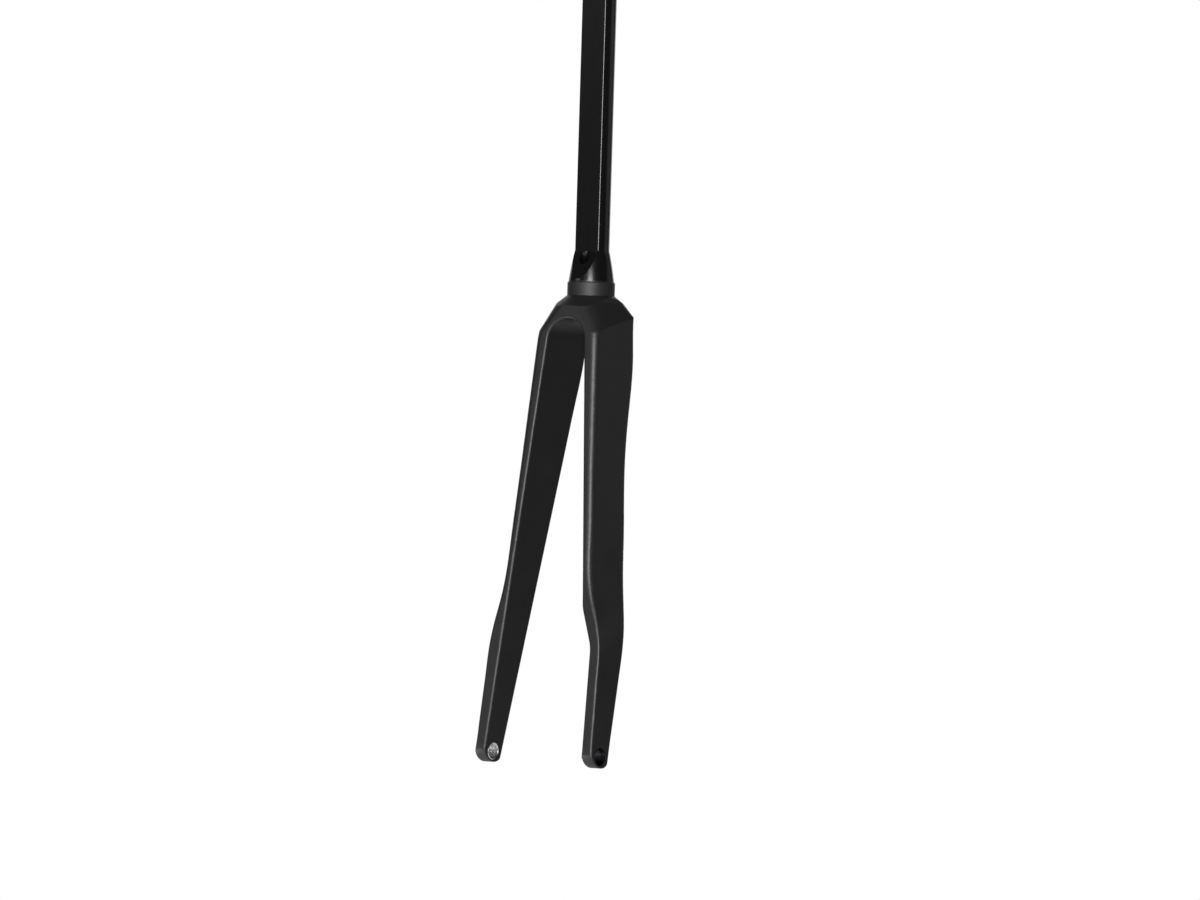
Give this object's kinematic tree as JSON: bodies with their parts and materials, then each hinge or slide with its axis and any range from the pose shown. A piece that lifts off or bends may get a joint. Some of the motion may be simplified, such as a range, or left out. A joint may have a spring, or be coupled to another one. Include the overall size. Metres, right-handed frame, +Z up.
{
  "type": "rigid bicycle fork",
  "caption": "Rigid disc-brake bicycle fork with flat-fronted steerer, flared lower bearing seat, squared tapering legs and through-axle dropouts.",
  "frame": {"origin": "middle of the lower bearing seat, on the steering axis", "axes": "+Z up along the steering axis, -Y forward, +X to the rider's left"},
  "size_m": [0.1227, 0.0842, 0.6888],
  "materials": {
    "moulded_body": "satin black moulded fibre",
    "bare_aluminium": "turned, bare",
    "dark_aluminium": "black anodised"
  },
  "bodies": {
    "root": {"fork_body": "moulded_body", "threaded_axle_insert": "bare_aluminium", "axle_bush": "dark_aluminium", "brake_mount_inserts": "dark_aluminium"}
  },
  "joints": []
}
